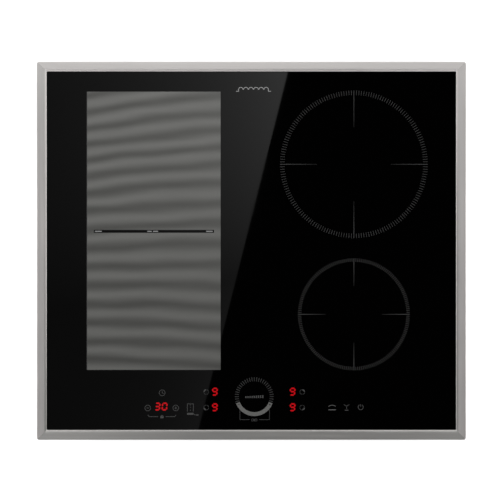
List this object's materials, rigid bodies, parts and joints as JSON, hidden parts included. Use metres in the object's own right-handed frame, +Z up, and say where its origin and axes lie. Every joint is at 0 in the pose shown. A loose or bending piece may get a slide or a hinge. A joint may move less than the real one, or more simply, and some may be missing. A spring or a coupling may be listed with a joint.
{
  "type": "induction cooktop",
  "caption": "Built-in induction cooktop with a steel trim, a black glass plate, a long flex zone, round cooking zones and front touch controls.",
  "frame": {"origin": "centre of the housing's underside", "axes": "+X to the cook's right, +Y away from the cook, +Z up; the touch controls are at -Y"},
  "size_m": [0.59, 0.52, 0.062],
  "materials": {
    "steel_trim": "satin brushed stainless steel",
    "glass_ceramic": "polished black glass-ceramic with printed zones",
    "seal_foam": "closed-cell foam strip",
    "galvanised_sheet": "zinc-coated folded sheet",
    "bright_steel": "zinc-plated screws, pin and spring wire",
    "black_plastic": "moulded, fine texture",
    "cream_plastic": "moulded, heat-resistant",
    "circuit_board": "green solder mask on glass-fibre board",
    "red_display": "smoked lens over red segments",
    "copper_litz": "enamelled stranded winding",
    "mica": "pressed mica sheet",
    "white_silicone": "moulded silicone cap",
    "bare_aluminium": "mill finish",
    "choke_winding": "enamelled wire on a ferrite ring",
    "black_rubber": "moulded bush"
  },
  "bodies": {
    "cooktop": {"glass_panel": "glass_ceramic", "trim_frame": "steel_trim", "worktop_seal": "seal_foam", "support_rail": "galvanised_sheet", "bottom_housing": "galvanised_sheet", "control_board": "circuit_board", "control_carrier": "black_plastic", "timer_display": "red_display", "zone_display_left_rear": "red_display", "zone_display_left_front": "red_display", "zone_display_right_rear": "red_display", "zone_display_right_front": "red_display", "tray_spring_left_1": "bright_steel", "tray_spring_left_2": "bright_steel", "tray_spring_left_3": "bright_steel", "tray_spring_right_1": "bright_steel", "tray_spring_right_2": "bright_steel", "tray_spring_right_3": "bright_steel", "power_board_left": "circuit_board", "power_board_right": "circuit_board", "heatsink_left": "bare_aluminium", "heatsink_right": "bare_aluminium", "power_transistor_left_1": "black_plastic", "power_transistor_left_2": "black_plastic", "power_transistor_right_1": "black_plastic", "power_transistor_right_2": "black_plastic", "fan_housing_left": "black_plastic", "fan_housing_right": "black_plastic", "filter_board": "circuit_board", "filter_choke": "choke_winding", "terminal_block": "cream_plastic", "cover_hinge_pin": "bright_steel", "clamp_screw_left_front": "bright_steel", "clamp_screw_left_rear": "bright_steel", "clamp_screw_right_front": "bright_steel", "clamp_screw_right_rear": "bright_steel"},
    "coil_unit_left": {"coil_tray_left": "bare_aluminium", "mica_sheet_left": "mica", "coil_winding_flex_rear": "copper_litz", "coil_winding_flex_front": "copper_litz", "coil_carrier_flex_rear": "black_plastic", "coil_carrier_flex_front": "black_plastic", "temperature_sensor_flex_rear": "white_silicone", "temperature_sensor_flex_front": "white_silicone"},
    "coil_unit_right": {"coil_tray_right": "bare_aluminium", "mica_sheet_right": "mica", "coil_winding_right_rear": "copper_litz", "coil_winding_right_front": "copper_litz", "coil_carrier_right_rear": "black_plastic", "coil_carrier_right_front": "black_plastic", "temperature_sensor_right_rear": "white_silicone", "temperature_sensor_right_front": "white_silicone"},
    "fan_left": {"fan_impeller_left": "cream_plastic"},
    "fan_right": {"fan_impeller_right": "cream_plastic"},
    "mains_cover": {"terminal_cover": "black_plastic", "cable_grommet": "black_rubber"},
    "clamp_left_front": {"clamp_bracket_left_front": "galvanised_sheet"},
    "clamp_left_rear": {"clamp_bracket_left_rear": "galvanised_sheet"},
    "clamp_right_front": {"clamp_bracket_right_front": "galvanised_sheet"},
    "clamp_right_rear": {"clamp_bracket_right_rear": "galvanised_sheet"}
  },
  "joints": [
    {"name": "fan_left_spin", "type": "hinge", "parent": "cooktop", "child": "fan_left", "pos_m": [-0.175, 0.184, 0.0265], "axis": [0, 0, 1], "continuous": true},
    {"name": "fan_right_spin", "type": "hinge", "parent": "cooktop", "child": "fan_right", "pos_m": [0.098, 0.184, 0.0265], "axis": [0, 0, 1], "continuous": true},
    {"name": "terminal_cover_hinge", "type": "hinge", "parent": "cooktop", "child": "mains_cover", "pos_m": [0.211, 0.1815, 0.003], "axis": [-1, 0, 0], "range_deg": [0, 95]},
    {"name": "coil_left_travel", "type": "slide", "parent": "cooktop", "child": "coil_unit_left", "axis": [0, 0, 1], "range_m": [-0.003, 0], "stiffness_N_per_m": 4000, "springref_m": 0.01, "deforming": ["tray_spring_left_1", "tray_spring_left_2", "tray_spring_left_3"]},
    {"name": "coil_right_travel", "type": "slide", "parent": "cooktop", "child": "coil_unit_right", "axis": [0, 0, 1], "range_m": [-0.003, 0], "stiffness_N_per_m": 4000, "springref_m": 0.01, "deforming": ["tray_spring_right_1", "tray_spring_right_2", "tray_spring_right_3"]},
    {"name": "clamp_left_front_slide", "type": "slide", "parent": "cooktop", "child": "clamp_left_front", "axis": [0, 0, 1], "range_m": [-0.002, 0.006]},
    {"name": "clamp_left_rear_slide", "type": "slide", "parent": "cooktop", "child": "clamp_left_rear", "axis": [0, 0, 1], "range_m": [-0.002, 0.006]},
    {"name": "clamp_right_front_slide", "type": "slide", "parent": "cooktop", "child": "clamp_right_front", "axis": [0, 0, 1], "range_m": [-0.002, 0.006]},
    {"name": "clamp_right_rear_slide", "type": "slide", "parent": "cooktop", "child": "clamp_right_rear", "axis": [0, 0, 1], "range_m": [-0.002, 0.006]}
  ]
}
